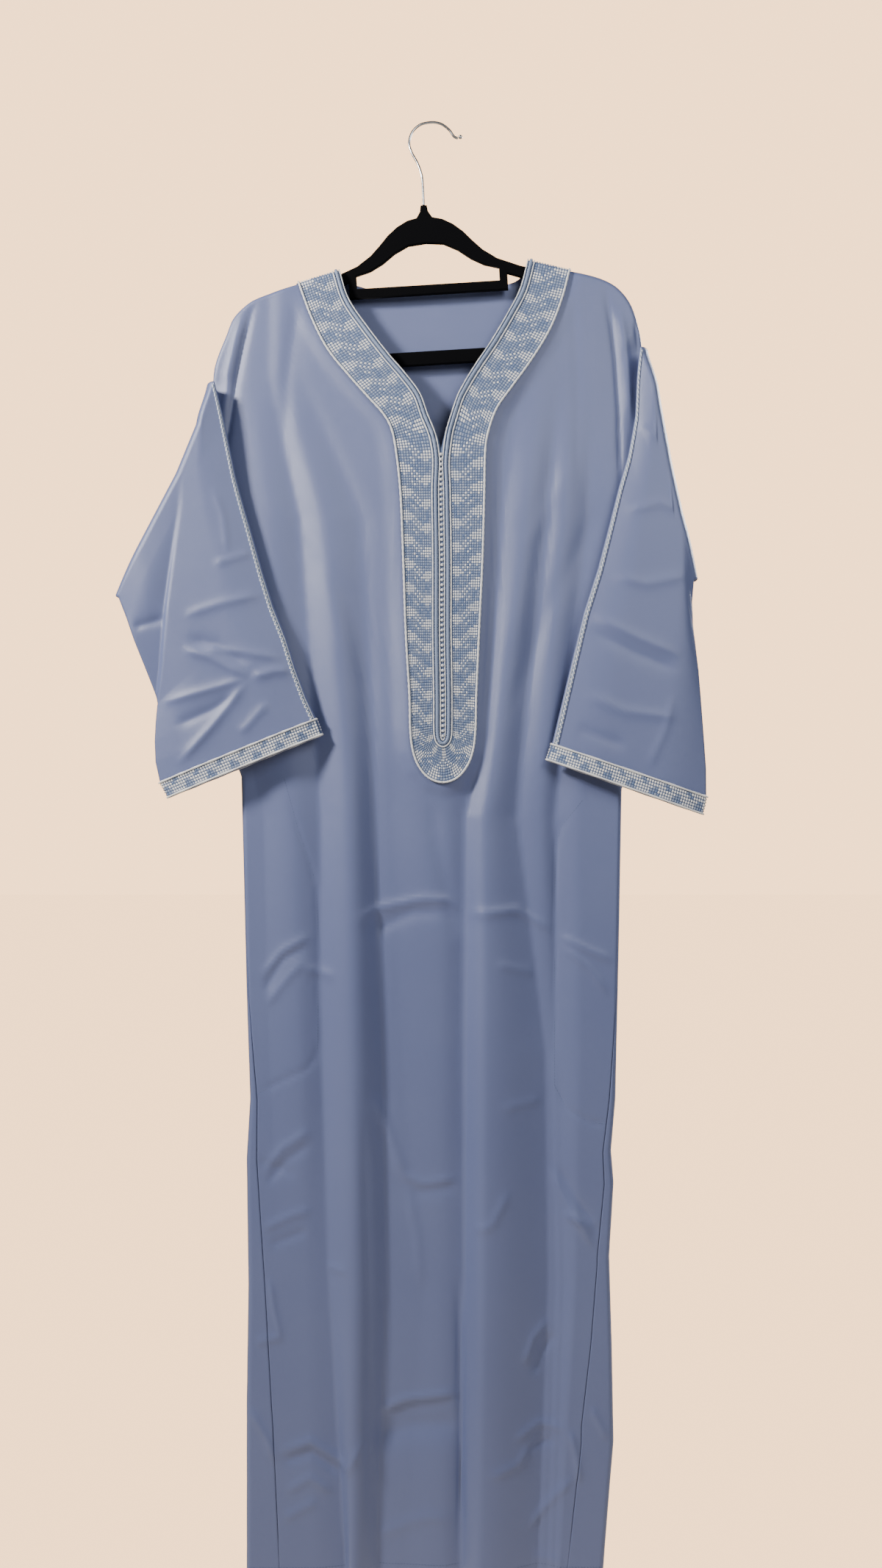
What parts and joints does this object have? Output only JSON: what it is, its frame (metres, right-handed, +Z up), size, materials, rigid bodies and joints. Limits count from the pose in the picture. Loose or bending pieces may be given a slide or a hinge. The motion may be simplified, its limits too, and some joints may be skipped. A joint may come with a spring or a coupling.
{
  "type": "thobe on a hanger",
  "caption": "Long wide-sleeved robe with a V neck, a stitched placket band and cuff bands, hanging flat from a slim wire-hook hanger.",
  "frame": {"origin": "where the hanger's wire hook rests on what carries it: the lowest point inside the top of its arc, on the wire's centre plane", "axes": "+X to the viewer's right facing the garment's front, +Y from the front to the back, +Z up"},
  "size_m": [0.667, 0.0571, 1.6529],
  "materials": {
    "cloth": "smooth soft-sheen weave",
    "band": "dense raised stitching in white and pale blue",
    "braid": "braided trim",
    "flock": "flocked, velvet touch",
    "steel": "polished wire"
  },
  "bodies": {
    "root": {"front": "cloth", "back": "cloth", "neck_band": "band", "left_sleeve": "cloth", "left_cuff_band": "band", "left_braid": "braid", "left_pocket_bag": "cloth", "right_sleeve": "cloth", "right_cuff_band": "band", "right_braid": "braid", "right_pocket_bag": "cloth", "hanger": "flock", "hook": "steel", "hook_tip": "steel"}
  },
  "joints": []
}
